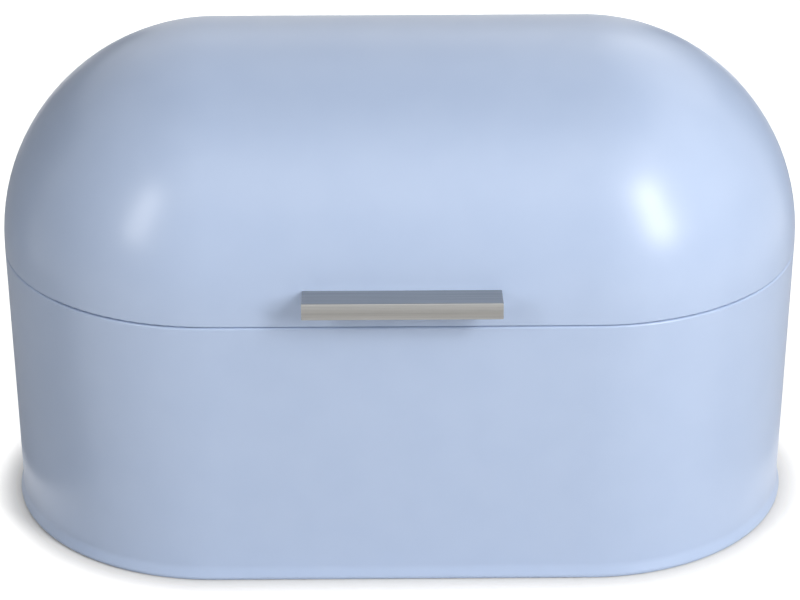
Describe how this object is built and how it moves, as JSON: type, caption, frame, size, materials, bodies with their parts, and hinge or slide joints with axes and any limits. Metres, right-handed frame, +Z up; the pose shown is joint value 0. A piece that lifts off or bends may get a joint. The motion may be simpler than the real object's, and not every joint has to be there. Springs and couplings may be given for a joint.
{
  "type": "bread box",
  "caption": "Obround painted sheet-steel bread box with a flared foot, a domed hinged lid flush with the bin and a brushed metal bar handle on the lid's front.",
  "frame": {"origin": "on the table, in the middle of the obround ring that the foot stands on", "axes": "+X to the right along the width, -Y towards the front with the handle, +Z up"},
  "size_m": [0.4204, 0.2515, 0.2633],
  "materials": {
    "powder_coat": "satin",
    "handle_metal": "brushed",
    "hinge_steel": "satin",
    "silicone": "matte"
  },
  "bodies": {
    "bin": {"body_wall": "powder_coat", "base_plate": "powder_coat", "left_body_leaf": "hinge_steel", "right_body_leaf": "hinge_steel", "left_hinge_pin": "hinge_steel", "right_hinge_pin": "hinge_steel", "left_body_rivets": "hinge_steel", "right_body_rivets": "hinge_steel"},
    "lid": {"lid_shell": "powder_coat", "handle_bar": "handle_metal", "handle_screw_left": "hinge_steel", "handle_screw_right": "hinge_steel", "handle_washer_left": "hinge_steel", "handle_washer_right": "hinge_steel", "left_lid_leaf": "hinge_steel", "right_lid_leaf": "hinge_steel", "left_lid_rivets": "hinge_steel", "right_lid_rivets": "hinge_steel", "lid_buffer_left": "silicone", "lid_buffer_right": "silicone"}
  },
  "joints": [
    {"name": "lid_hinge", "type": "hinge", "parent": "bin", "child": "lid", "pos_m": [0, 0.11516, 0.147], "axis": [-1, 0, 0], "range_deg": [0, 95]}
  ]
}
